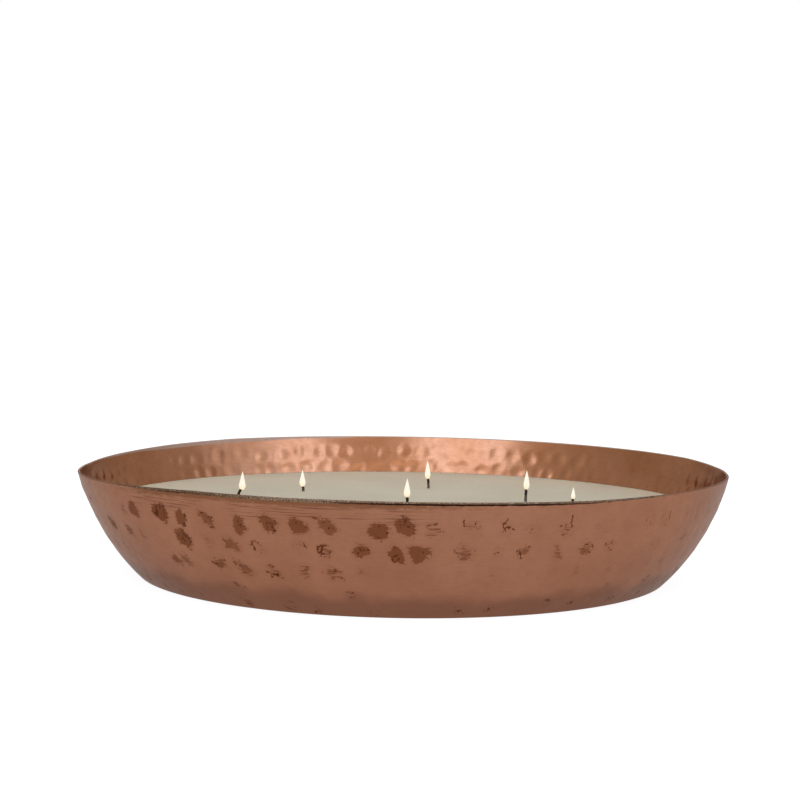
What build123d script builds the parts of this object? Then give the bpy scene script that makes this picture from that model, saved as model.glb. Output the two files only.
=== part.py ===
"""Hammered copper dish filled with wax, with six wicks: a multi-wick candle.

Millimetres, +Z up. The origin is the centre of the flat underside, so the candle stands
on z = 0, and -Y points to its front. The hammer marks in the copper are shallower than
the sheet is thick and change no size, so the dish is smooth here.
"""

import os
from math import hypot, radians, sqrt

from build123d import *

# Dish
RIM_RADIUS = 228.8  # outside, before its edge is rounded: an 18 inch dish
DISH_HEIGHT = 76.0
BASE_RADIUS = 186.0  # where the line of the wall meets the table
WALL_BULGE = 6.5  # how far the wall bows outward from a straight cone
HEEL_RADIUS = 2.4  # outer rounding between the flat base and the wall
SHEET = 1.5
RIM_ROUNDING = 0.7  # of both edges of the sheet where it ends at the rim

# Wax
WAX_LEVEL = 46.3  # leaves 30 mm of bare wall above it

# Wick, the clip crimped onto its foot, and the glue dot that holds the clip to the dish
WICK_RADIUS = 1.1
DOT_RADIUS = 8.5
DOT_THICKNESS = 1.0
CLIP_RADIUS = 10.0
CLIP_THICKNESS = 0.3
COLLAR_RADIUS = 1.7
COLLAR_HEIGHT = 6.0
COLLAR_ROUNDING = 0.8

# Two rows of three wicks, each with its place (x, y), its bare length above the wax, the
# heading that its tip leans to (degrees, anticlockwise from +X) and how far it bends
WICKS = [
    ((-118.0, -8.0), 12.4, 15.0, 38.0),
    ((-75.3, 72.0), 5.6, 200.0, 14.0),
    ((3.4, -40.0), 12.2, 160.0, 5.0),
    ((19.8, 105.0), 9.3, 185.0, 10.0),
    ((89.8, 29.0), 11.0, 340.0, 5.0),
    ((117.9, -33.0), 12.0, 350.0, 5.0),
]

# The wall is one arc from the edge of the base up to the rim.
wall_flare = RIM_RADIUS - BASE_RADIUS
wall_chord = hypot(wall_flare, DISH_HEIGHT)
WALL_ARC_RADIUS = (wall_chord**2 / 4 + WALL_BULGE**2) / (2 * WALL_BULGE)
chord_to_centre = (WALL_ARC_RADIUS - WALL_BULGE) / wall_chord
WALL_CENTRE_R = (BASE_RADIUS + RIM_RADIUS) / 2 - chord_to_centre * DISH_HEIGHT
WALL_CENTRE_Z = DISH_HEIGHT / 2 + chord_to_centre * wall_flare


def wall_radius(height, inset):
    """Distance from the dish's axis to the wall, on a surface inset from the outer one."""
    rise = height - WALL_CENTRE_Z
    return WALL_CENTRE_R + sqrt((WALL_ARC_RADIUS - inset) ** 2 - rise**2)


def bowl_section(inset, top):
    """Half section of the bowl inside the outer surface moved in by inset, up to top."""
    middle = (inset + top) / 2
    with BuildSketch(Plane.XZ) as section:
        with BuildLine():
            floor = Line((0, inset), (wall_radius(inset, inset), inset))
            wall = ThreePointArc(
                floor @ 1,
                (wall_radius(middle, inset), middle),
                (wall_radius(top, inset), top),
            )
            Polyline(wall @ 1, (0, top), floor @ 0)
        make_face()
        heel = section.vertices().sort_by_distance(floor @ 1)[0]
        fillet(heel, HEEL_RADIUS - inset)
    return section.sketch


def glue_dot(x, y):
    """Flat round dot of glue on the floor of the dish."""
    with BuildPart() as dot:
        with BuildSketch(Plane((x, y, SHEET))):
            Circle(DOT_RADIUS)
        extrude(amount=DOT_THICKNESS)
    return dot.part


def wick_clip(x, y):
    """Thin round plate with a collar that is crimped onto the wick."""
    foot = Plane((x, y, SHEET + DOT_THICKNESS))
    with BuildPart() as clip:
        with BuildSketch(foot):
            Circle(CLIP_RADIUS)
        extrude(amount=CLIP_THICKNESS)
        with BuildSketch(foot):
            Circle(COLLAR_RADIUS)
        extrude(amount=COLLAR_HEIGHT)
        collar_rings = clip.edges().filter_by(GeomType.CIRCLE).group_by(SortBy.RADIUS)[0]
        fillet(collar_rings.sort_by(Axis.Z)[0], COLLAR_ROUNDING)
        with BuildSketch(foot):
            Circle(WICK_RADIUS)
        extrude(amount=COLLAR_HEIGHT, mode=Mode.SUBTRACT)
    return clip.part


def wick(x, y, bare_length, leans_to, bend):
    """Round wick, straight through the wax and bent in one arc above it."""
    foot_height = SHEET + DOT_THICKNESS
    heading = Vector(1, 0, 0).rotate(Axis.Z, leans_to)
    upright = Plane((x, y, 0), x_dir=heading, z_dir=heading.cross(Vector(0, 0, 1)))
    with BuildPart() as strand:
        with BuildLine(upright) as path:
            buried = Line((0, foot_height), (0, WAX_LEVEL))
            JernArc(buried @ 1, buried % 1, bare_length / radians(bend), -bend)
        with BuildSketch(Plane((x, y, foot_height))):
            Circle(WICK_RADIUS)
        sweep(path=path.wires()[0])
    return strand.part


with BuildPart() as tray:
    revolve(bowl_section(0, DISH_HEIGHT))
    revolve(bowl_section(SHEET, DISH_HEIGHT), mode=Mode.SUBTRACT)
    fillet(tray.edges().group_by(Axis.Z)[-1], RIM_ROUNDING)

pieces = {"tray": tray.part}
for number, (place, bare_length, leans_to, bend) in enumerate(WICKS, start=1):
    pieces[f"glue_dot_{number}"] = glue_dot(*place)
    pieces[f"wick_clip_{number}"] = wick_clip(*place)
    pieces[f"wick_{number}"] = wick(*place, bare_length, leans_to, bend)

# The wax is poured last, around everything that already stands in the dish.
with BuildPart() as wax:
    revolve(bowl_section(SHEET, WAX_LEVEL))
    for name, piece in pieces.items():
        if name != "tray":
            add(piece, mode=Mode.SUBTRACT)
pieces["wax"] = wax.part

os.makedirs("parts", exist_ok=True)
for name, piece in pieces.items():
    piece.label = name
    export_step(piece, f"parts/{name}.step")
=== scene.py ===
"""Looks of the hammered copper dish candle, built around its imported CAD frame.

Metres, +Z up, in the row's own frame. The dish, the wax, the wicks and the glue dots are
rebuilt in detail, the wick clips keep their CAD shape, and six flames stand on the wicks.
"""

import math
from collections import namedtuple

import bmesh
import bpy
import numpy as np
from mathutils import Matrix, Vector, geometry


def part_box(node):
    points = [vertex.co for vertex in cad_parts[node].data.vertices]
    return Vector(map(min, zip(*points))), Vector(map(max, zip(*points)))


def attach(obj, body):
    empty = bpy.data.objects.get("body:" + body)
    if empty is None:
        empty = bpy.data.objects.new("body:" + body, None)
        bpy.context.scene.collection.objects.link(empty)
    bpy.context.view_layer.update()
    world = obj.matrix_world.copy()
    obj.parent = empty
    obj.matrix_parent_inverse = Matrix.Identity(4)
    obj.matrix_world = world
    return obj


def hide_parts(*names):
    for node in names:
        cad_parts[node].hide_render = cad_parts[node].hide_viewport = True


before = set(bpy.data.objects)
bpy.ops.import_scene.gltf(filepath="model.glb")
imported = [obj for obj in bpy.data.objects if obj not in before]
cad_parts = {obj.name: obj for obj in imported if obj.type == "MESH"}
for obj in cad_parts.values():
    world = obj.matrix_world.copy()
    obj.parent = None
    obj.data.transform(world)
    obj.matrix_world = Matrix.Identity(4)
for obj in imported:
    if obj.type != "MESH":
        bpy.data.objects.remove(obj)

MM = 0.001
TURN = 2 * math.pi

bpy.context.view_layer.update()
_, tray_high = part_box("tray")
wax_low, wax_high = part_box("wax")
WICK_NUMBERS = range(1, 7)

# ---------------------------------------------------------------- the dish's section
# The same section as the CAD: one arc for the wall, a rounded heel and a rounded rim.
BASE_RADIUS = 186.0 * MM
RIM_RADIUS = 228.8 * MM
WALL_BULGE = 6.5 * MM
HEEL_RADIUS = 2.4 * MM
RIM_ROUNDING = 0.7 * MM
DISH_HEIGHT = tray_high.z
SHEET = wax_low.z  # the wax lies on the sheet
WAX_LEVEL = wax_high.z

flare = RIM_RADIUS - BASE_RADIUS
chord = math.hypot(flare, DISH_HEIGHT)
ARC = (chord**2 / 4 + WALL_BULGE**2) / (2 * WALL_BULGE)
to_centre = (ARC - WALL_BULGE) / chord
ARC_R = (BASE_RADIUS + RIM_RADIUS) / 2 - to_centre * DISH_HEIGHT
ARC_Z = DISH_HEIGHT / 2 + to_centre * flare
TOP_ANGLE = math.atan2(DISH_HEIGHT - ARC_Z, RIM_RADIUS - ARC_R)
HEEL_R = ARC_R + math.sqrt((ARC - HEEL_RADIUS) ** 2 - (HEEL_RADIUS - ARC_Z) ** 2)
HEEL_ANGLE = math.atan2(HEEL_RADIUS - ARC_Z, HEEL_R - ARC_R)
WALL_LENGTH = ARC * (TOP_ANGLE - HEEL_ANGLE)

Station = namedtuple("Station", "r z nr nz down side count")
OUTSIDE, INSIDE, PLAIN = 0, 1, 2
FAR = 1.0  # the "down" of rings that are not part of the wall


def wall_station(down, inset, side, count):
    """A ring of the wall, down metres under the rim, on the surface inset from the outer."""
    angle = TOP_ANGLE - down / ARC
    nr, nz = math.cos(angle), math.sin(angle)
    radius = ARC - inset
    way = 1 if side == OUTSIDE else -1
    return Station(ARC_R + radius * nr, ARC_Z + radius * nz, way * nr, way * nz, down, side, count)


def turned(centre_r, centre_z, radius, start, end, steps, down, side, count, way=1):
    """Rings along a small arc of the section, from one angle to another."""
    made = []
    for angle in np.linspace(start, end, steps):
        nr, nz = math.cos(angle), math.sin(angle)
        r, z = centre_r + radius * nr, centre_z + radius * nz
        made.append(Station(r, z, way * nr, way * nz, down, side, count))
    return made


# ---------------------------------------------------------------- hammer marks
Mark = namedtuple("Mark", "angle down wide tall slant lobes depth patina tarnish")
HammerRow = namedtuple("HammerRow", "down phase kept")
rng = np.random.default_rng(1907)

OUTSIDE_PER_ROW = 68
INSIDE_PER_ROW = 92
FIRST_KEPT = -12  # where the lists below start, in marks from the front
# Rows of blows on the outside: mm under the rim, how far round the row starts as a share
# of the pitch, and how much dark patina the buffing left in each mark of the front, from
# the left end of the dish to the right
OUTSIDE_ROWS = (
    HammerRow(
        17.5, 0.0,
        (0.15, 0.15, 0.45, 0.85, 1.0, 0.9, 0.8, 0.9, 0.8, 0.9, 0.85, 0.9)
        + (0.95, 0.5, 0.4, 0.45, 0.35, 0.45, 0.2, 0.3, 0.35, 0.35),
    ),
    HammerRow(
        33.0, 0.75,
        (0.7, 0.6, 0.4, 0.1, 0.9, 0.35, 0.65, 0.35, 0.35, 0.55, 0.7, 0.9)
        + (0.9, 0.6, 0.35, 0.55, 0.5, 0.55, 0.4, 0.15),
    ),
    HammerRow(
        50.0, 0.87,
        (0.4, 0.1, 0.1, 0.6, 0.6, 0.65, 0.65, 0.5, 0.5, 0.5, 0.35, 0.15, 0.2) + 6 * (0.2,),
    ),
    HammerRow(
        67.0, 0.42,
        (0.1, 0.2, 0.1, 0.2, 0.1, 0.2, 0.3, 0.1, 0.2, 0.1, 0.3, 0.1, 0.2) + 6 * (0.15,),
    ),
    HammerRow(80.0, 0.1, (0.1,)),
)
INSIDE_ROWS = (14.0, 27.5)
BLOW_OUTSIDE, BLOW_INSIDE = 5.6, 9.4  # half the width of a mark, mm
DENT_OUTSIDE, DENT_INSIDE = 0.32, 0.50  # mm deep
RAGGED_OUTSIDE, RAGGED_INSIDE = 1.0, 0.35  # how uneven the outlines are
REACH_WIDE, REACH_TALL = 2.4, 2.0  # how far a mark's lip is felt, in half widths


def blow(angle, down, size, dent, patina, ragged):
    """One hammer mark: a shallow dent with an outline as uneven as ragged makes it."""
    lobes = tuple(ragged * rng.uniform(0.03, 0.13) for _ in range(3))
    lobes += tuple(rng.uniform(0, TURN, 3))
    size *= 0.72 + 0.34 * patina
    wide = size * rng.uniform(0.75, 1.2) * MM
    tall = size * rng.uniform(0.85, 1.2) * MM
    slant = ragged * rng.uniform(-0.1, 0.5)
    deep = dent * rng.uniform(0.5, 1.25) * MM
    angle += rng.normal(0, 0.012)
    down = (down + rng.normal(0, 1.2)) * MM
    tarnish = 0.40 + 0.38 * patina + rng.uniform(0.0, 0.16)
    return Mark(angle, down, wide, tall, slant, lobes, deep, patina, tarnish)


def outside_marks():
    marks = []
    for row in OUTSIDE_ROWS:
        for k in range(OUTSIDE_PER_ROW):
            from_front = (k + OUTSIDE_PER_ROW // 2) % OUTSIDE_PER_ROW - OUTSIDE_PER_ROW // 2
            place = from_front - FIRST_KEPT
            luck = rng.random()
            patina = row.kept[place] if 0 <= place < len(row.kept) else 0.12 + 0.38 * luck**2
            angle = TURN * (from_front + row.phase) / OUTSIDE_PER_ROW
            marks.append(blow(angle, row.down, BLOW_OUTSIDE, DENT_OUTSIDE, patina, RAGGED_OUTSIDE))
    return marks


def inside_marks():
    marks = []
    for row, down in enumerate(INSIDE_ROWS):
        for k in range(INSIDE_PER_ROW):
            angle = TURN * (k + 0.5 * row) / INSIDE_PER_ROW
            marks.append(blow(angle, down, BLOW_INSIDE, DENT_INSIDE, 0.0, RAGGED_INSIDE))
    return marks


OUTSIDE_MARKS = outside_marks()
INSIDE_MARKS = inside_marks()


def struck(angle, down, radius, marks):
    """Depth of the marks, the patina left in them and how dark it is, at points of the wall."""
    depth = np.zeros_like(angle)
    patina = np.zeros_like(angle)
    tarnish = np.full_like(angle, 0.6)
    for mark in marks:
        around = (angle - mark.angle + math.pi) % TURN - math.pi
        near = np.abs(around) * RIM_RADIUS < REACH_WIDE * mark.wide
        near &= np.abs(down - mark.down) < REACH_TALL * mark.tall
        if not near.any():
            continue
        y = down[near] - mark.down
        x = around[near] * radius[near] - mark.slant * y
        turn = np.arctan2(y, x)
        a, b, c, a_turn, b_turn, c_turn = mark.lobes
        outline = 1 + a * np.cos(2 * turn + a_turn) + b * np.cos(3 * turn + b_turn)
        outline += c * np.cos(5 * turn + c_turn)
        away = np.hypot(x / mark.wide, y / mark.tall) / outline
        bowl = np.clip(1 - away**2, 0, 1) ** 2
        lip = 0.12 * np.exp(-(((away - 1.1) / 0.25) ** 2))
        depth[near] += mark.depth * (bowl - lip)
        left = mark.patina * np.clip(1.5 - away, 0, 1)
        darker = left > patina[near]
        tarnish[near] = np.where(darker, mark.tarnish, tarnish[near])
        patina[near] = np.maximum(patina[near], left)
    return depth, patina, tarnish


def waviness(angle, height):
    """Slow unevenness of beaten sheet, in metres, the same all the way round."""
    wave = 0.10 * np.sin(7 * angle + 1.3) + 0.08 * np.sin(13 * angle + 400 * height + 0.4)
    wave += 0.06 * np.sin(23 * angle - 500 * height + 2.1) + 0.03 * np.sin(41 * angle + 900 * height)
    return wave * MM


# ---------------------------------------------------------------- mesh helpers
def new_piece(name, verts, faces, material, smooth=True):
    mesh = bpy.data.meshes.new(name)
    mesh.from_pydata([tuple(v) for v in verts], [], faces)
    shell = bmesh.new()
    shell.from_mesh(mesh)
    bmesh.ops.recalc_face_normals(shell, faces=shell.faces)
    shell.to_mesh(mesh)
    shell.free()
    mesh.polygons.foreach_set("use_smooth", [smooth] * len(mesh.polygons))
    mesh.materials.append(material)
    mesh.update()
    piece = bpy.data.objects.new(name, mesh)
    bpy.context.scene.collection.objects.link(piece)
    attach(piece, "root")
    return piece


def stitch(first, second):
    """Faces between two closed rings of vertex numbers that start at the same angle."""
    m, n = len(first), len(second)
    if m == n:
        return [(first[i], first[(i + 1) % m], second[(i + 1) % m], second[i]) for i in range(m)]
    faces = []
    i = j = 0
    while i < m or j < n:
        if j >= n or (i < m and (i + 1) / m <= (j + 1) / n):
            faces.append((first[i % m], first[(i + 1) % m], second[j % n]))
            i += 1
        else:
            faces.append((first[i % m], second[(j + 1) % n], second[j % n]))
            j += 1
    return faces


def ring_xy(centre, radius, count):
    """Points of a level circle, the first at its front, where -Y is."""
    angles = np.arange(count) * TURN / count
    return np.column_stack((centre[0] + radius * np.sin(angles), centre[1] - radius * np.cos(angles)))


def write_attribute(piece, name, values):
    layer = piece.data.attributes.new(name, "FLOAT", "POINT")
    layer.data.foreach_set("value", np.asarray(values, np.float32))


# ---------------------------------------------------------------- materials
class Look:
    """A procedural material on one Principled shader, with short names for its nodes."""

    def __init__(self, name):
        self.material = bpy.data.materials.new(name)
        self.material.use_nodes = True
        self.tree = self.material.node_tree
        self.shader = self.tree.nodes["Principled BSDF"]
        self.place = self.node("ShaderNodeTexCoord").outputs["Object"]
        self.height = self.node("ShaderNodeSeparateXYZ", {"Vector": self.place}).outputs["Z"]

    def put(self, socket, value):
        if isinstance(value, bpy.types.NodeSocket):
            self.tree.links.new(value, socket)
        elif isinstance(value, tuple) and len(value) == 3 and socket.type == "RGBA":
            socket.default_value = (*value, 1)
        else:
            socket.default_value = value

    def node(self, kind, inputs=None, **settings):
        made = self.tree.nodes.new(kind)
        for name, value in settings.items():
            setattr(made, name, value)
        for key, value in (inputs or {}).items():
            self.put(made.inputs[key], value)
        return made

    def set(self, **values):
        for name, value in values.items():
            self.put(self.shader.inputs[name.replace("_", " ").title().replace("Ior", "IOR")], value)

    def math(self, operation, first, second=0.0):
        return self.node("ShaderNodeMath", {0: first, 1: second}, operation=operation).outputs[0]

    def stretched(self, x, y, z):
        inputs = {0: self.place, 1: Vector((x, y, z))}
        return self.node("ShaderNodeVectorMath", inputs, operation="MULTIPLY").outputs[0]

    def noise(self, vector, scale, detail=3.0, roughness=0.5, distortion=0.0):
        inputs = {
            "Vector": vector,
            "Scale": scale,
            "Detail": detail,
            "Roughness": roughness,
            "Distortion": distortion,
        }
        return self.node("ShaderNodeTexNoise", inputs).outputs["Fac"]

    def step(self, value, low, high, to_low=0.0, to_high=1.0):
        """A smooth step from to_low, where value is low, to to_high, where it is high."""
        made = self.node("ShaderNodeMapRange", {"Value": value}, interpolation_type="SMOOTHSTEP")
        for key, number in (("From Min", low), ("From Max", high), ("To Min", to_low), ("To Max", to_high)):
            self.put(made.inputs[key], number)
        return made.outputs["Result"]

    def mix(self, share, first, second):
        made = self.node("ShaderNodeMix", data_type="RGBA")
        self.put(made.inputs["Factor"], share)
        self.put(made.inputs[6], first)
        self.put(made.inputs[7], second)
        return made.outputs[2]

    def attribute(self, name):
        return self.node("ShaderNodeAttribute", attribute_name=name).outputs["Fac"]

    def bump(self, height, distance, strength=1.0, under=None):
        inputs = {"Height": height, "Distance": distance, "Strength": strength}
        if under is not None:
            inputs["Normal"] = under
        return self.node("ShaderNodeBump", inputs).outputs["Normal"]


# Thin winding folds that the hammer left: degrees round from the front, mm under the rim,
# and mm tall
FOLDS = ((9.2, 12.0, 5.0), (15.6, 13.5, 9.0), (26.8, 12.5, 9.0), (48.5, 15.0, 7.0))
FOLD_WANDER = 11 * MM


def folds(look):
    """Share of each point of the outside that lies in one of the folds."""
    split = look.node("ShaderNodeSeparateXYZ", {"Vector": look.place}).outputs
    around = look.math("ARCTAN2", split["X"], look.math("MULTIPLY", split["Y"], -1.0))
    around = look.math("MULTIPLY", around, RIM_RADIUS)
    wander = look.math("SUBTRACT", look.noise(look.stretched(0.2, 0.2, 1), 190, 3.0, 0.6), 0.5)
    around = look.math("ADD", around, look.math("MULTIPLY", wander, FOLD_WANDER))
    found = 0.0
    for degrees, down, tall in FOLDS:
        across = look.math("ABSOLUTE", look.math("SUBTRACT", around, math.radians(degrees) * RIM_RADIUS))
        along = look.math("ABSOLUTE", look.math("SUBTRACT", look.height, DISH_HEIGHT - down * MM))
        thin = look.step(across, 0.25 * MM, 0.65 * MM, 1.0, 0.0)
        short = look.step(along, 0.35 * tall * MM, 0.55 * tall * MM, 1.0, 0.0)
        found = look.math("MAXIMUM", found, look.math("MULTIPLY", thin, short))
    return look.math("MULTIPLY", found, look.math("SUBTRACT", 1.0, look.attribute("inside")))


def copper_look():
    """Beaten copper: buffed outside with dark patina left in the marks; painted light makes the inside
    brighter and warmer.
    """
    look = Look("hammered_copper")
    broad = look.noise(look.place, 26, 2.0)
    fine = look.noise(look.place, 190, 4.0, 0.6)
    grain = look.noise(look.place, 1100, 2.0)
    streaks = look.noise(look.stretched(1, 1, 9), 150, 3.0, 0.55)
    inside = look.attribute("inside")
    outside = look.math("SUBTRACT", 1.0, inside)

    # The inside is painted brighter and more saturated than the outside of the same sheet: painted light,
    # for warm light bounced between the copper walls.
    outer = look.mix(look.step(broad, 0.3, 0.7), (0.392, 0.168, 0.094), (0.438, 0.193, 0.111))
    inner = look.mix(look.step(broad, 0.3, 0.7), (0.52, 0.210, 0.093), (0.60, 0.262, 0.132))
    metal = look.mix(inside, outer, inner)
    metal = look.mix(look.step(fine, 0.35, 0.75, 0.0, 0.16), metal, (0.31, 0.124, 0.066))
    metal = look.mix(look.step(streaks, 0.40, 0.65, 0.0, 0.14), metal, (0.30, 0.115, 0.060))

    # Painted shade near the foot of the wall, where it faces the shadowed floor: darker and browner, with
    # an uneven edge.
    shade_height = look.math("ADD", look.height, look.math("MULTIPLY", broad, 16 * MM))
    foot = look.step(shade_height, 17 * MM, 27 * MM, 0.60, 0.0)
    metal = look.mix(look.math("MULTIPLY", foot, outside), metal, (0.215, 0.088, 0.053))

    # Patina in the marks, ragged along the lines of the buffing, and a faint shade in all.
    left = look.attribute("patina")
    metal = look.mix(look.step(left, 0.02, 0.30, 0.0, 0.13), metal, (0.27, 0.100, 0.052))
    uneven = look.math("MULTIPLY", look.math("SUBTRACT", streaks, 0.5), 1.05)
    uneven = look.math("ADD", uneven, look.math("MULTIPLY", look.math("SUBTRACT", fine, 0.5), 0.6))
    in_marks = look.step(look.math("ADD", left, uneven), 0.44, 0.54)
    in_marks = look.math("MULTIPLY", in_marks, look.attribute("tarnish"))
    metal = look.mix(in_marks, metal, (0.205, 0.064, 0.024))

    # Dark creases and specks along the edges of the faint marks.
    winding = look.noise(look.stretched(1, 1, 0.5), 130, 3.0, 0.6)
    winding = look.math("ABSOLUTE", look.math("SUBTRACT", winding, 0.5))
    crease = look.step(winding, 0.012, 0.034, 1.0, 0.0)
    some = look.step(look.noise(look.place, 70, 2.0), 0.53, 0.58)
    crease = look.math("MULTIPLY", crease, some)
    specks = look.step(look.noise(look.place, 480, 2.0), 0.63, 0.69)
    near_marks = look.step(left, 0.14, 0.30)
    crease = look.math("MULTIPLY", look.math("MAXIMUM", crease, specks), near_marks)
    crease = look.math("MAXIMUM", crease, folds(look))
    metal = look.mix(look.math("MULTIPLY", crease, 0.9), metal, (0.105, 0.027, 0.008))

    # Fine lines that the buffing wheel left under the rim.
    lines = look.step(look.noise(look.stretched(1, 1, 55), 29, 3.0, 0.6), 0.535, 0.59)
    patches = look.step(look.noise(look.place, 21, 1.0), 0.33, 0.50)
    lines = look.math("MULTIPLY", look.math("MULTIPLY", lines, patches), look.attribute("scratched"))
    metal = look.mix(look.math("MULTIPLY", lines, 0.8), metal, (0.150, 0.055, 0.030))

    # Under the rim, a warmer, browner band.
    warm = look.math("MULTIPLY", look.math("SUBTRACT", streaks, 0.5), 1.3)
    warm = look.math("ADD", warm, look.math("MULTIPLY", look.math("SUBTRACT", grain, 0.5), 0.9))
    warm = look.math("ADD", look.attribute("warm"), warm)
    metal = look.mix(look.step(warm, 0.25, 0.95, 0.0, 0.85), metal, (0.225, 0.092, 0.042))

    # The edge of the rim was never buffed: dark brown, in places dull and speckled.
    pale = look.attribute("edge_pale")
    speckle = look.noise(look.place, 1700, 2.0)
    speckle = look.step(look.math("ADD", speckle, look.math("MULTIPLY", pale, 0.10)), 0.58, 0.70)
    brown = look.mix(look.step(pale, 0.0, 1.0), (0.085, 0.034, 0.018), (0.140, 0.078, 0.042))
    brown = look.mix(look.step(pale, -1.0, 0.0, 1.0, 0.0), brown, (0.012, 0.005, 0.003))
    speckle = look.math("MULTIPLY", speckle, look.step(pale, 0.0, 0.8))
    edge_colour = look.mix(speckle, brown, (0.44, 0.32, 0.22))
    ragged = look.math("MULTIPLY", look.math("SUBTRACT", fine, 0.5), 0.8)
    edge = look.step(look.math("ADD", look.attribute("edge"), ragged), 0.40, 0.60)
    metal = look.mix(look.math("MULTIPLY", edge, 0.96), metal, edge_colour)
    # Painted reflection: the inner lip is painted grey, as if it mirrored the pale room, and is made
    # rougher.
    lip = look.step(look.attribute("lip_reflection"), 0.25, 0.75)
    metal = look.mix(look.math("MULTIPLY", lip, 0.85), metal, (0.530, 0.380, 0.295))

    marked = look.math("MAXIMUM", look.math("MAXIMUM", in_marks, edge), lip)
    rough = look.step(fine, 0.2, 0.8, 0.31, 0.40)
    rough = look.math("ADD", rough, look.math("MULTIPLY", marked, 0.14))
    rough = look.math("ADD", rough, look.math("MULTIPLY", lip, 0.22))
    rough = look.math("SUBTRACT", rough, look.math("MULTIPLY", inside, 0.10))
    normal = look.bump(streaks, 0.05 * MM, look.step(inside, 0.0, 1.0, 0.3, 0.08))
    normal = look.bump(fine, 0.05 * MM, look.step(inside, 0.0, 1.0, 0.4, 0.10), normal)
    sunk = look.math("SUBTRACT", 1.0, look.math("MAXIMUM", lines, crease))
    normal = look.bump(sunk, 0.06 * MM, 0.6, normal)
    look.set(base_color=metal, roughness=rough, normal=normal, metallic=1.0)
    look.set(specular_tint=(0.72, 0.71, 0.69))
    return look.material


def wax_look():
    """Cream candle wax, matt, with a very faint mottle."""
    look = Look("wax")
    broad = look.noise(look.place, 18, 3.0)
    fine = look.noise(look.place, 420, 3.0)
    colour = look.mix(look.step(broad, 0.3, 0.7), (0.495, 0.425, 0.298), (0.530, 0.458, 0.324))
    normal = look.bump(broad, 0.4 * MM, 0.25)
    normal = look.bump(fine, 0.03 * MM, 0.4, normal)
    look.set(base_color=colour, roughness=look.step(fine, 0.3, 0.7, 0.46, 0.58), normal=normal)
    look.set(subsurface_weight=0.35, subsurface_radius=Vector((1.0, 0.62, 0.4)), subsurface_scale=4 * MM)
    look.set(ior=1.44, specular_ior_level=0.4)
    return look.material


def wick_look():
    """Waxed cotton braid, charred towards its tip."""
    look = Look("wick")
    burnt = look.attribute("burnt")
    fine = look.noise(look.place, 1600, 3.0)
    cotton = look.mix(fine, (0.56, 0.50, 0.40), (0.72, 0.66, 0.55))
    singed = look.mix(look.step(burnt, 0.0, 0.06), cotton, (0.115, 0.085, 0.062))
    char = look.mix(look.step(fine, 0.4, 0.7), (0.014, 0.009, 0.005), (0.050, 0.033, 0.019))
    ragged = look.math("ADD", burnt, look.math("MULTIPLY", look.math("SUBTRACT", fine, 0.5), 0.3))
    colour = look.mix(look.step(ragged, 0.30, 0.60), singed, char)
    look.set(base_color=colour, roughness=0.85, specular_ior_level=0.15)
    look.set(normal=look.bump(fine, 0.08 * MM, 0.7))
    return look.material


def glue_look():
    """Hot glue, milky and a little glossy."""
    look = Look("glue")
    cloud = look.noise(look.place, 260, 3.0)
    colour = look.mix(look.step(cloud, 0.3, 0.7), (0.70, 0.62, 0.47), (0.80, 0.74, 0.60))
    look.set(base_color=colour, roughness=look.step(cloud, 0.2, 0.8, 0.22, 0.36))
    look.set(normal=look.bump(cloud, 0.1 * MM, 0.4), subsurface_weight=0.3, subsurface_scale=1 * MM)
    return look.material


def clip_look():
    """Tinned steel, rolled and a little dulled."""
    look = Look("clip_steel")
    rolled = look.noise(look.stretched(1, 14, 1), 240, 3.0)
    dull = look.noise(look.place, 300, 3.0)
    colour = look.mix(look.step(dull, 0.3, 0.7), (0.62, 0.61, 0.58), (0.76, 0.76, 0.74))
    look.set(base_color=colour, metallic=1.0, roughness=look.step(rolled, 0.2, 0.8, 0.24, 0.42))
    look.set(normal=look.bump(rolled, 0.02 * MM, 0.4))
    return look.material


def flame_look():
    """White-hot flame, yellow low down and faint orange where it leaves the wick."""
    look = Look("flame")
    height = look.attribute("flame_height")
    low = look.mix(look.step(height, 0.0, 0.10), (0.80, 0.46, 0.26), (0.98, 0.86, 0.60))
    light = look.mix(look.step(height, 0.10, 0.35), low, (1.0, 0.94, 0.78))
    look.set(base_color=(0.0, 0.0, 0.0), roughness=1.0, specular_ior_level=0.0)
    look.set(emission_color=light, emission_strength=1.03)
    return look.material


# ---------------------------------------------------------------- the copper dish
WALL_COUNT = 1000
HIDDEN_COUNT = WALL_COUNT // 4  # under the wax the rings can be coarser
ROW_STEP = 1.5 * MM
BENEATH_WAX = 4 * MM  # how far the fine rings go on under the wax
HIDDEN_ROWS = 8
HEEL_STEPS = 6
RIM_STEPS = 5
UNDERSIDE_RINGS = ((40, 80), (110, 240), (165, 500))  # mm, count
FLOOR_RINGS = ((150, 160), (80, 80), (30, 40))

# How the rim was left, as (degrees round from the front, value), each ending where it began
EDGE_TALL = (  # mm, the unbuffed edge on the outside
    (-120, 1.2), (-72, 0.5), (-58, 0.3), (-48, 1.0), (-34, 2.2), (-14, 2.4), (0, 2.1), (18, 2.1),
    (28, 1.7), (38, 1.2), (46, 0.6), (60, 0.4), (85, 0.6), (120, 1.4), (180, 1.6),
)
EDGE_PALE = (  # -1 almost black, 0 dark brown, 1 dull and speckled
    (-150, 0.4), (-62, 0.6), (-44, 0.2), (-31, 0.4), (-20, 1.0), (-13, 0.9), (-8, 0.1), (-3, -0.7),
    (4, -1.0), (20, -1.0), (28, 0.0), (45, 0.3), (70, 0.5), (150, 0.3),
)
WARM_BAND = (
    (-60, 0.0), (-42, 0.9), (-5, 1.0), (15, 0.35), (50, 0.1), (90, 0.5), (150, 0.2), (-150, 0.5),
)
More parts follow.
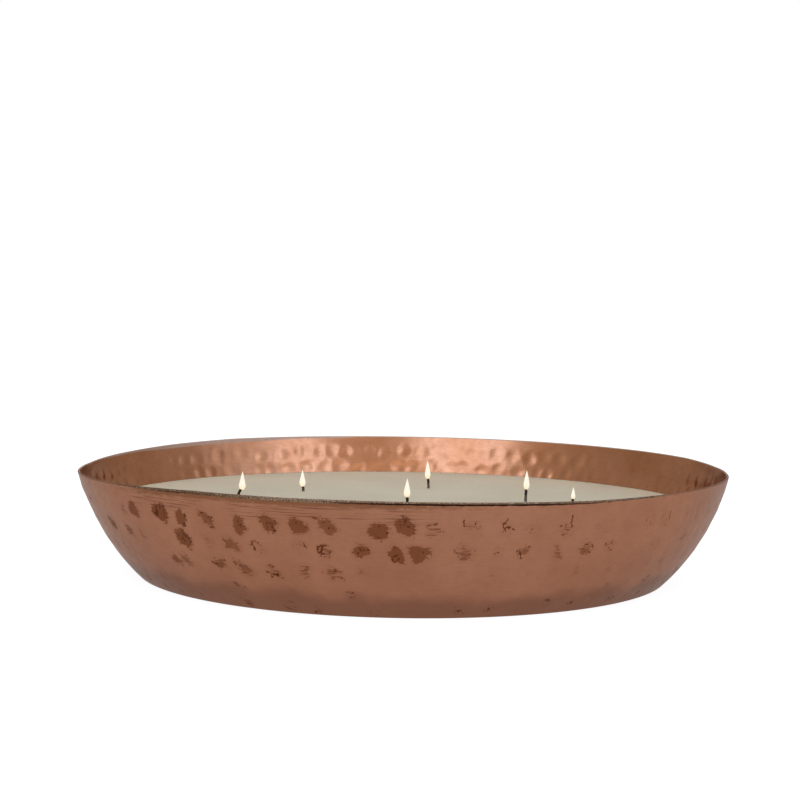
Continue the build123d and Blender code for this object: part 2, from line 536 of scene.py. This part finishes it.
SCRATCHES = (
    (-56, 0.0), (-44, 0.8), (-20, 1.0), (0, 1.0), (6, 0.0), (60, 0.0), (120, 0.7), (180, 0.3), (-120, 0.6),
)
LIP_REFLECTION_TALL = (  # mm, how far down the inside of the rim a grey reflection of the pale room is painted
    (-172, 0.7), (-163, 2.0), (-150, 2.8), (-138, 3.0), (-125, 3.0), (-114, 2.2), (-100, 0.9),
    (0, 0.3), (120, 0.4), (170, 0.6),
)
RIM_DIP = (  # mm, how far the beaten rim lies under the true one
    (-142, 0.0), (-126, 1.4), (-113, 2.9), (-104, 3.8), (-95, 4.8), (-85, 4.4), (-75, 3.4),
    (-60, 2.4), (-50, 1.3), (-42, 0.2), (-34, -0.7), (-10, -0.8), (5, -0.7), (18, -0.2),
    (30, 0.5), (45, 0.5), (60, 0.2), (72, 0.3), (84, 1.0), (96, 1.0), (110, 0.0),
)
DIP_FOOT = 45 * MM  # the height where the wall is true again
WARM_TOP, WARM_FOOT = 2.5 * MM, 6.8 * MM
SCRATCH_TOP, SCRATCH_FOOT = 6 * MM, 14 * MM
FADE = 0.7 * MM
TOP_PALE = 0.75  # the least that the top of the sheet is dulled
EDGE_FADE = 1.4 * MM  # a lower edge than this is worn through in places


def smooth(value, low, high):
    t = np.clip((value - low) / (high - low), 0, 1)
    return t * t * (3 - 2 * t)


def round_rim(angle, knots):
    """A value that changes along the rim, straight from knot to knot."""
    degrees, values = zip(*sorted(knots))
    return np.interp(np.degrees(angle), degrees, values, period=360)


def inner_wall_stations():
    """Rings of the inside of the wall, finer where they show above the wax."""
    top = 1.6 * RIM_ROUNDING
    wet = DISH_HEIGHT - WAX_LEVEL + BENEATH_WAX
    rows = round((wet - top) / ROW_STEP)
    made = [wall_station(down, SHEET, INSIDE, WALL_COUNT) for down in np.linspace(top, wet, rows)]
    hidden = np.linspace(wet, WALL_LENGTH, HIDDEN_ROWS)[1:]
    made += [wall_station(down, SHEET, INSIDE, HIDDEN_COUNT) for down in hidden]
    heel = HEEL_RADIUS - SHEET
    rings = (HEEL_ANGLE, -math.pi / 2, HEEL_STEPS, FAR, PLAIN, HIDDEN_COUNT, -1)
    made += turned(HEEL_R, HEEL_RADIUS, heel, *rings)[1:]
    return made


def rim_stations():
    """Rings over the top of the sheet: its outer edge is rounded, then its inner edge."""
    height = DISH_HEIGHT - RIM_ROUNDING - ARC_Z
    made = []
    edges = ((RIM_ROUNDING, OUTSIDE, 0, 90), (SHEET - RIM_ROUNDING, INSIDE, 90, 180))
    for inset, side, start, end in edges:
        centre = ARC_R + math.sqrt((ARC - inset) ** 2 - height**2)
        wall = math.degrees(math.asin(height / (ARC - inset)))
        first, last = start + wall * (start == 0), end + wall * (end == 180)
        first, last = math.radians(first), math.radians(last)
        made += turned(centre, height + ARC_Z, RIM_ROUNDING, first, last, RIM_STEPS, 0, side, WALL_COUNT)
    return made


def dish_stations():
    """Rings from the middle of the underside, up the outside, over the rim and down inside."""
    made = [Station(r * MM, 0, 0, -1, FAR, PLAIN, count) for r, count in UNDERSIDE_RINGS]
    heel = (-math.pi / 2, HEEL_ANGLE, HEEL_STEPS, FAR, PLAIN, WALL_COUNT)
    made += turned(HEEL_R, HEEL_RADIUS, HEEL_RADIUS, *heel)
    rows = round(WALL_LENGTH / ROW_STEP)
    for down in np.linspace(WALL_LENGTH, 2 * RIM_ROUNDING, rows)[1:]:
        made.append(wall_station(down, 0, OUTSIDE, WALL_COUNT))
    made += rim_stations()
    made += inner_wall_stations()
    made += [Station(r * MM, SHEET, 0, 1, FAR, PLAIN, count) for r, count in FLOOR_RINGS]
    return made


def wall_shift(angle, station):
    """How far the beaten wall lies from the true section, and the patina left on it."""
    down = np.full_like(angle, station.down)
    radius = np.full_like(angle, station.r)
    if station.side == OUTSIDE:
        depth, patina, tarnish = struck(angle, down, radius, OUTSIDE_MARKS)
        return -depth * smooth(down, 6 * MM, 10 * MM), patina, tarnish
    if station.side == INSIDE:
        depth, patina, tarnish = struck(angle, down, radius, INSIDE_MARKS)
        return depth * smooth(down, 4 * MM, 8 * MM), patina, tarnish
    nothing = np.zeros_like(angle)
    return nothing, nothing, nothing


def ring_points(station, angle):
    """Points of one ring in space, with the patina at each and how dark it is."""
    shift, patina, tarnish = wall_shift(angle, station)
    sway = waviness(angle, station.z) * smooth(station.z, 4 * MM, 40 * MM)
    dip = round_rim(angle, RIM_DIP) * MM * smooth(station.z, DIP_FOOT, DISH_HEIGHT)
    r = station.r + station.nr * shift + sway
    z = station.z + station.nz * shift - dip
    points = np.column_stack((r * np.sin(angle), -r * np.cos(angle), z))
    return points, patina, tarnish


def rim_finish(angle, station):
    """Shares of each finish that copper_look paints at the rim: what the buffing left, a warm band under
    it, and a painted grey reflection on the inner lip.
    """
    nothing = np.zeros_like(angle)
    down = station.down
    if station.side == OUTSIDE:
        tall = round_rim(angle, EDGE_TALL) * MM
        pale = round_rim(angle, EDGE_PALE)
        on_top = down < RIM_ROUNDING
        return {
            "edge": smooth(tall, 0, EDGE_FADE) * (1 - smooth(down, tall - FADE, tall + FADE)),
            "edge_pale": np.maximum(pale, TOP_PALE) if on_top else pale,
            "warm": round_rim(angle, WARM_BAND) * (1 - smooth(down, WARM_TOP + FADE, WARM_FOOT)),
            "scratched": round_rim(angle, SCRATCHES)
            * smooth(down, SCRATCH_TOP - FADE, SCRATCH_TOP)
            * (1 - smooth(down, SCRATCH_FOOT - FADE, SCRATCH_FOOT)),
            "lip_reflection": nothing,
        }
    # On the inside, the share of the painted grey reflection on the lip.
    grey = nothing
    if station.side == INSIDE:
        tall = round_rim(angle, LIP_REFLECTION_TALL) * MM
        grey = 1 - smooth(down, tall - FADE, tall + FADE)
    plain = dict.fromkeys(("edge", "edge_pale", "warm", "scratched"), nothing)
    return {**plain, "lip_reflection": grey}


def copper_dish(material):
    verts, faces, rings = [], [], []
    finish = {}
    for station in dish_stations():
        angle = np.arange(station.count) * TURN / station.count
        points, patina, tarnish = ring_points(station, angle)
        rings.append(list(range(len(verts), len(verts) + station.count)))
        verts.extend(points)
        shares = rim_finish(angle, station)
        shares.update(patina=patina, tarnish=tarnish, inside=np.full_like(angle, station.side == INSIDE))
        for name, values in shares.items():
            finish.setdefault(name, []).extend(values)
    for first, second in zip(rings, rings[1:]):
        faces += stitch(first, second)
    faces.append(tuple(reversed(rings[0])))
    faces.append(tuple(rings[-1]))
    piece = new_piece("hammered_dish", verts, faces, material)
    for name, values in finish.items():
        write_attribute(piece, name, values)
    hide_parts("tray")
    return piece


# ---------------------------------------------------------------- wicks
WICK_RADIUS = 1.1 * MM
DOT_RADIUS = 8.5 * MM
CLIP_RADIUS = 10.0 * MM
COLLAR_RADIUS = 1.7 * MM
COLLAR_ROUNDING = 0.8 * MM
WickBend = namedtuple("WickBend", "bare leans_to bend flame_tall flame_wide flame_lean")
# Bare length (mm), heading and bend (degrees) as in the CAD; flame height and width (mm),
# and how far its tip leans to +X (mm)
WICK_BENDS = {
    1: WickBend(12.4, 15.0, 38.0, 13.8, 4.5, 0.2),
    2: WickBend(5.6, 200.0, 14.0, 13.2, 4.5, -0.1),
    3: WickBend(12.2, 160.0, 5.0, 13.6, 4.7, 0.1),
    4: WickBend(9.3, 185.0, 10.0, 14.5, 4.5, -0.2),
    5: WickBend(11.0, 340.0, 5.0, 14.5, 4.5, 0.1),
    6: WickBend(12.0, 350.0, 5.0, 8.7, 2.9, 0.1),
}
BRAID_PITCH = 3.4 * MM
BRAID_AROUND = 24
TIP_STARTS, TIP_LENGTH = 0.93, 0.0705  # where the wick rounds off, as shares of its bare end
WickPoint = namedtuple("WickPoint", "at along across other")


def wick_place(number):
    low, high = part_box(f"wick_clip_{number}")
    return Vector(((low.x + high.x) / 2, (low.y + high.y) / 2, low.z)), high.z


def wick_point(number, up):
    """Middle of a wick and its directions, up metres along it from its foot."""
    foot, _ = wick_place(number)
    bend = WICK_BENDS[number]
    buried = WAX_LEVEL - foot.z
    heading = Matrix.Rotation(math.radians(bend.leans_to), 3, "Z") @ Vector((1, 0, 0))
    other = Vector((0, 0, 1)).cross(heading)
    if up <= buried:
        return WickPoint(foot + Vector((0, 0, up)), Vector((0, 0, 1)), heading, other)
    radius = bend.bare * MM / math.radians(bend.bend)
    turn = (up - buried) / radius
    start = Vector((foot.x, foot.y, WAX_LEVEL))
    at = start + heading * radius * (1 - math.cos(turn)) + Vector((0, 0, radius * math.sin(turn)))
    along = heading * math.sin(turn) + Vector((0, 0, math.cos(turn)))
    return WickPoint(at, along, other.cross(along), other)


def wick_length(number):
    return WAX_LEVEL - wick_place(number)[0].z + WICK_BENDS[number].bare * MM


def braided_wick(number, material):
    """Round braid of three strands each way, swollen and ragged at its burnt tip."""
    around = BRAID_AROUND
    length = wick_length(number)
    bare = WICK_BENDS[number].bare * MM
    ups = list(np.linspace(0, length - bare, 80)) + list(np.linspace(length - bare, length, 70))[1:]
    verts, faces, burnt = [], [], []
    angles = np.arange(around) * TURN / around
    for up in ups:
        point = wick_point(number, up)
        bared = (up - length + bare) / bare
        twist = TURN * up / BRAID_PITCH
        strands = np.maximum(np.cos(3 * angles + twist), np.cos(3 * angles - twist))
        radius = WICK_RADIUS * (0.87 + 0.13 * strands)
        if bared > 0:
            fray = np.sin(5 * angles + 900 * up + number) * np.sin(2 * angles - 1700 * up)
            radius = radius * (1 - 0.10 * bared + 0.10 * bared * fray)
        if bared > TIP_STARTS:
            radius = radius * math.sqrt(max(0.02, 1 - ((bared - TIP_STARTS) / TIP_LENGTH) ** 2))
        for angle, r in zip(angles, radius):
            verts.append(point.at + (point.across * math.cos(angle) + point.other * math.sin(angle)) * r)
            burnt.append(max(0.0, bared))
    rings = [list(range(k * around, (k + 1) * around)) for k in range(len(ups))]
    for first, second in zip(rings, rings[1:]):
        faces += stitch(first, second)
    faces.append(tuple(reversed(rings[0])))
    faces.append(tuple(rings[-1]))
    piece = new_piece(f"braided_wick_{number}", verts, faces, material)
    write_attribute(piece, "burnt", burnt)
    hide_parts(f"wick_{number}")
    return piece


def glue_pad(number, material):
    """Dot of glue, pressed flat by the clip, its side bulging and a little uneven."""
    low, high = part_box(f"glue_dot_{number}")
    middle = (low + high) / 2
    around = 64
    angles = np.arange(around) * TURN / around
    uneven = 1 + 0.008 * np.sin(3 * angles + number) + 0.006 * np.sin(7 * angles + 2 * number)
    verts, faces = [], []
    side = [(0.975, 0.18), (0.985, 0.5), (0.975, 0.82)]
    outline = [(0.45, 0.0), (0.94, 0.0), *side, (0.94, 1.0), (0.45, 1.0)]
    for share, up in outline:
        z = low.z + (high.z - low.z) * up
        for angle, wide in zip(angles, uneven):
            r = DOT_RADIUS * share * wide
            verts.append((middle.x + r * math.cos(angle), middle.y + r * math.sin(angle), z))
    rings = [list(range(k * around, (k + 1) * around)) for k in range(len(outline))]
    for first, second in zip(rings, rings[1:]):
        faces += stitch(first, second)
    faces.append(tuple(reversed(rings[0])))
    faces.append(tuple(rings[-1]))
    piece = new_piece(f"glue_pad_{number}", verts, faces, material)
    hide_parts(f"glue_dot_{number}")
    return piece


# ---------------------------------------------------------------- wax
HOLE_COUNT = 32
EDGE_COUNT = WALL_COUNT
MENISCUS = 0.9 * MM
CLIP_THICKNESS = 0.3 * MM
EDGE_RINGS = ((0.8, 1000), (1.8, 500), (3.2, 400), (5.4, 300), (8.4, 220))  # mm in, count
WICK_RINGS = (1.5, 2.0, 2.8, 4.2, 6.4, 9.4, 13.5)  # mm


def wax_wall_radius(angle, down):
    """Where the wax meets the beaten inside of the wall."""
    points, _, _ = ring_points(wall_station(down, SHEET, INSIDE, len(angle)), angle)
    return np.hypot(points[:, 0], points[:, 1]), points[:, 2]


def down_at(height, inset):
    return ARC * (TOP_ANGLE - math.asin((height - ARC_Z) / (ARC - inset)))


def triangulated(points, loops):
    """Triangles over flat points, with each loop of point numbers kept as edges."""
    edges = [(loop[i], loop[(i + 1) % len(loop)]) for loop in loops for i in range(len(loop))]
    flat = [Vector(p) for p in points]
    out, _, triangles, origin, _, _ = geometry.delaunay_2d_cdt(flat, edges, [], 0, 1e-7)
    number = [first[0] for first in origin]
    return [tuple(number[v] for v in t) for t in triangles]


def honeycomb(radius, step):
    rows = int(radius / step / 0.866) + 1
    points = []
    for j in range(-rows, rows + 1):
        for i in range(-rows, rows + 1):
            p = (step * (i + 0.5 * (j % 2)), step * 0.866 * j)
            if math.hypot(*p) < radius:
                points.append(p)
    return np.array(points)


def wax_surface_height(xy, edge_distance, wicks):
    """Height of the poured wax: flat, climbing the wall and each wick, sunk around a flame."""
    x, y = xy[:, 0], xy[:, 1]
    z = np.full(len(xy), WAX_LEVEL)
    z += 0.10 * MM * np.sin(31 * x + 1.0) * np.cos(27 * y + 0.3) + 0.05 * MM * np.sin(83 * x - 61 * y)
    z += MENISCUS * np.exp(-edge_distance / (1.6 * MM))
    for wick in wicks:
        away = np.hypot(x - wick.x, y - wick.y)
        z -= 0.55 * MM * np.exp(-((away / (10 * MM)) ** 2))
        z += 0.75 * MM * np.exp(-(away - WICK_RADIUS) / (0.9 * MM))
    return z


def poured_wax(material):
    """One solid casting, with a cavity for each wick, clip and glue dot."""
    wicks = [wick_place(number)[0] for number in WICK_NUMBERS]
    verts, faces = [], []

    def add(points):
        first = len(verts)
        verts.extend(Vector(p) for p in points)
        return list(range(first, len(verts)))

    # Top: rings near the wall and near each wick, an even mesh between them.
    flat_radius = ARC_R + math.sqrt((ARC - SHEET) ** 2 - (WAX_LEVEL - ARC_Z) ** 2)
    hole = 0.95 * WICK_RADIUS
    top_loops = [ring_xy((0, 0), flat_radius, EDGE_COUNT)]
    top_loops += [ring_xy((wick.x, wick.y), hole, HOLE_COUNT) for wick in wicks]
    inner = [ring_xy((0, 0), flat_radius - gap * MM, count) for gap, count in EDGE_RINGS]
    for wick in wicks:
        inner += [ring_xy((wick.x, wick.y), radius * MM, HOLE_COUNT) for radius in WICK_RINGS]
    comb = honeycomb(flat_radius - 11 * MM, 6.5 * MM)
    for wick in wicks:
        comb = comb[np.hypot(comb[:, 0] - wick.x, comb[:, 1] - wick.y) > (WICK_RINGS[-1] + 3) * MM]
    flat = np.concatenate(top_loops + inner + [comb])
    sizes = np.cumsum([0] + [len(loop) for loop in top_loops])
    loops = [list(range(sizes[k], sizes[k + 1])) for k in range(len(top_loops))]
    triangles = triangulated(flat, loops)
    hole_of = {v: k for k, loop in enumerate(loops[1:]) for v in loop}
    triangles = [t for t in triangles if len({hole_of.get(v, -1 - v) for v in t}) > 1]

    away = np.hypot(flat[:, 0], flat[:, 1])
    angle = np.arctan2(flat[:, 0], -flat[:, 1])
    rim_down = down_at(WAX_LEVEL + MENISCUS, SHEET)
    wall_radius, wall_height = wax_wall_radius(angle, rim_down)
    gap = flat_radius - away
    spread = 1 + (wall_radius + 0.05 * MM - flat_radius) / flat_radius * np.exp(-gap / (3 * MM))
    height = wax_surface_height(flat, gap, wicks)
    height[: EDGE_COUNT] = wall_height[: EDGE_COUNT]
    add(np.column_stack((flat[:, 0] * spread, flat[:, 1] * spread, height)))
    faces += triangles

    # Side: down the inside of the wall, then round the heel.
    ring = loops[0]
    for station in inner_wall_stations():
        if station.side == INSIDE and station.down < rim_down + 0.4 * MM:
            continue
        points, _, _ = ring_points(station, np.arange(station.count) * TURN / station.count)
        lower = add(points)
        faces += stitch(ring, lower)
        ring = lower

    # Underside, with an opening for each glue dot.
    outline = np.array([verts[v][:2] for v in ring])
    dots = [ring_xy((wick.x, wick.y), DOT_RADIUS, HOLE_COUNT) for wick in wicks]
    comb = honeycomb(HEEL_R - 25 * MM, 40 * MM)
    for wick in wicks:
        comb = comb[np.hypot(comb[:, 0] - wick.x, comb[:, 1] - wick.y) > 20 * MM]
    flat = np.concatenate([outline] + dots + [comb])
    numbers = ring + add([(x, y, SHEET) for x, y in flat[len(outline):]])
    sizes = np.cumsum([0, len(outline)] + [HOLE_COUNT] * len(dots))
    floor_loops = [list(range(sizes[k], sizes[k + 1])) for k in range(len(sizes) - 1)]
    hole_of = {v: k for k, loop in enumerate(floor_loops[1:]) for v in loop}
    for t in triangulated(flat, floor_loops):
        if len({hole_of.get(v, -1 - v) for v in t}) > 1:
            faces.append(tuple(numbers[v] for v in reversed(t)))

    # Cavities: up round the glue dot, the clip and its collar, then along the wick.
    for k, wick in enumerate(wicks):
        _, collar_top = wick_place(k + 1)
        clip_top = wick.z + CLIP_THICKNESS
        steps = [
            (DOT_RADIUS, wick.z),
            (CLIP_RADIUS, wick.z),
            (CLIP_RADIUS, clip_top),
            (COLLAR_RADIUS + COLLAR_ROUNDING, clip_top),
            (COLLAR_RADIUS, clip_top + COLLAR_ROUNDING),
            (COLLAR_RADIUS, collar_top),
            (hole, collar_top),
            (hole, WAX_LEVEL - 6 * MM),
        ]
        ring = [numbers[v] for v in floor_loops[1 + k]]
        for radius, z in steps:
            upper = add([(x, y, z) for x, y in ring_xy((wick.x, wick.y), radius, HOLE_COUNT)])
            faces += stitch(ring, upper)
            ring = upper
        faces += stitch(ring, loops[1 + k])

    piece = new_piece("poured_wax", verts, faces, material)
    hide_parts("wax")
    return piece


# ---------------------------------------------------------------- flames
FLAME_ROWS = 40
FLAME_AROUND = 32
FLAME_OVERLAP = 2.0 * MM  # how far the flame reaches down over the wick
FLAME_WIDEST = 0.26
FLAME_TAPER = 1.2


def flame(number, material):
    """Pointed teardrop of light on a wick, widest a quarter of the way up."""
    bend = WICK_BENDS[number]
    tip = wick_point(number, wick_length(number)).at
    base = Vector((tip.x, tip.y, tip.z - FLAME_OVERLAP))
    tall, wide = bend.flame_tall * MM, bend.flame_wide * MM
    verts, faces, heights = [], [], []
    for up in np.linspace(0.004, 0.996, FLAME_ROWS):
        if up < FLAME_WIDEST:
            radius = wide / 2 * math.sqrt(1 - (1 - up / FLAME_WIDEST) ** 2)
        else:
            radius = wide / 2 * (1 - ((up - FLAME_WIDEST) / (1 - FLAME_WIDEST)) ** FLAME_TAPER)
        lean = bend.flame_lean * MM * up * up
        for angle in np.arange(FLAME_AROUND) * TURN / FLAME_AROUND:
            flicker = 1 + 0.05 * math.sin(2 * angle + 3 * up + number)
            x = base.x + lean + radius * flicker * math.cos(angle)
            y = base.y + radius * flicker * math.sin(angle)
            verts.append((x, y, base.z + tall * up))
            heights.append(up)
    rings = [list(range(k * FLAME_AROUND, (k + 1) * FLAME_AROUND)) for k in range(FLAME_ROWS)]
    for first, second in zip(rings, rings[1:]):
        faces += stitch(first, second)
    faces.append(tuple(reversed(rings[0])))
    faces.append(tuple(rings[-1]))
    piece = new_piece(f"flame_{number}", verts, faces, material)
    write_attribute(piece, "flame_height", heights)
    return piece


# ---------------------------------------------------------------- stage, lights and camera
FLOOR_HALF = 8  # metres
LIGHT_DISTANCE = 2.5
LIGHT_COLOUR = (0.80, 1.14, 1.80)  # daylight, cooler than the room


def stage_floor():
    """Wide plain floor, seen as close to white."""
    verts = [(FLOOR_HALF * x, FLOOR_HALF * y, 0) for x, y in ((-1, -1), (1, -1), (1, 1), (-1, 1))]
    mesh = bpy.data.meshes.new("floor")
    mesh.from_pydata(verts, [], [(0, 1, 2, 3)])
    floor = bpy.data.objects.new("floor", mesh)
    bpy.context.scene.collection.objects.link(floor)
    look = Look("floor")
    seen = look.node("ShaderNodeLightPath").outputs["Is Camera Ray"]
    look.set(base_color=(0.25, 0.25, 0.25), roughness=0.9, specular_ior_level=0.1)
    look.set(emission_color=(1.0, 1.0, 1.0), emission_strength=look.step(seen, 0.0, 1.0, 0.56, 0.90))
    mesh.materials.append(look.material)


def studio_world():
    """Pale studio all round, brighter in front of the object, seen as plain white."""
    world = bpy.data.worlds.new("studio")
    bpy.context.scene.world = world
    world.use_nodes = True
    nodes, links = world.node_tree.nodes, world.node_tree.links
    background = nodes["Background"]
    background.inputs["Color"].default_value = (1.0, 1.0, 1.0, 1.0)
    way = nodes.new("ShaderNodeSeparateXYZ")
    links.new(nodes.new("ShaderNodeTexCoord").outputs["Generated"], way.inputs[0])
    front = nodes.new("ShaderNodeMapRange")
    front.interpolation_type = "SMOOTHSTEP"
    links.new(way.outputs["Y"], front.inputs["Value"])
    for key, value in (("From Min", 0.0), ("From Max", -0.9), ("To Min", 0.42), ("To Max", 0.74)):
        front.inputs[key].default_value = value
    overhead = nodes.new("ShaderNodeMapRange")
    overhead.interpolation_type = "SMOOTHSTEP"
    links.new(way.outputs["Z"], overhead.inputs["Value"])
    for key, value in (("From Min", 0.62), ("From Max", 0.92), ("To Min", 0.0), ("To Max", 0.85)):
        overhead.inputs[key].default_value = value
    both = nodes.new("ShaderNodeMath")
    links.new(front.outputs["Result"], both.inputs[0])
    links.new(overhead.outputs["Result"], both.inputs[1])
    seen = nodes.new("ShaderNodeLightPath")
    plain = nodes.new("ShaderNodeMix")
    links.new(seen.outputs["Is Camera Ray"], plain.inputs["Factor"])
    links.new(both.outputs["Value"], plain.inputs["A"])
    plain.inputs["B"].default_value = 1.0
    links.new(plain.outputs["Result"], background.inputs["Strength"])


def softbox(name, azimuth, elevation, wide, tall, power):
    """Lit panel that faces the dish from LIGHT_DISTANCE away, at degrees round from its front."""
    light = bpy.data.lights.new(name, "AREA")
    light.shape = "RECTANGLE"
    light.size, light.size_y, light.energy = wide, tall, power
    light.color = LIGHT_COLOUR
    box = bpy.data.objects.new(name, light)
    around, up = math.radians(azimuth), math.radians(elevation)
    way = Vector((math.sin(around) * math.cos(up), -math.cos(around) * math.cos(up), math.sin(up)))
    box.location = LIGHT_DISTANCE * way
    box.rotation_euler = way.to_track_quat("Z", "Y").to_euler()
    box.visible_camera = False
    bpy.context.scene.collection.objects.link(box)


CAMERA_DISTANCE = 1.25
CAMERA_ELEVATION = math.radians(7.43)
CAMERA_AIM = Vector((0, 0, 0.040))
CAMERA_PITCH = math.radians(-3.70)
CAMERA_YAW = math.radians(-0.143)
CAMERA_ROLL = math.radians(0.91)
CAMERA_LENS = 78.5


def studio_camera():
    """Long lens a little above the rim, the dish low in the picture."""
    data = bpy.data.cameras.new("camera")
    data.lens = CAMERA_LENS
    data.sensor_width = 36
    data.clip_start, data.clip_end = 0.05, 100
    camera = bpy.data.objects.new("camera", data)
    back = Vector((0, -math.cos(CAMERA_ELEVATION), math.sin(CAMERA_ELEVATION)))
    camera.location = CAMERA_AIM + CAMERA_DISTANCE * back
    look = Matrix.Rotation(-CAMERA_YAW, 4, "Z") @ Matrix.Rotation(math.pi / 2 + CAMERA_PITCH, 4, "X")
    camera.rotation_euler = (look @ Matrix.Rotation(CAMERA_ROLL, 4, "Z")).to_euler()
    bpy.context.scene.collection.objects.link(camera)
    bpy.context.scene.camera = camera


# ---------------------------------------------------------------- everything together
studio_camera()
copper_dish(copper_look())
poured_wax(wax_look())
wick_material = wick_look()
glue_material = glue_look()
clip_material = clip_look()
flame_material = flame_look()
for number in WICK_NUMBERS:
    braided_wick(number, wick_material)
    glue_pad(number, glue_material)
    flame(number, flame_material)
    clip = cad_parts[f"wick_clip_{number}"]
    clip.data.materials.clear()
    clip.data.materials.append(clip_material)
stage_floor()
studio_world()
softbox("left_softbox", -26.5, 28, 1.7, 1.6, 11.9)
softbox("right_softbox", 44, 28, 0.85, 1.6, 5.2)
softbox("side_softbox", 70, 28, 1.7, 1.6, 4.1)
bpy.context.scene.view_settings.view_transform = "Standard"
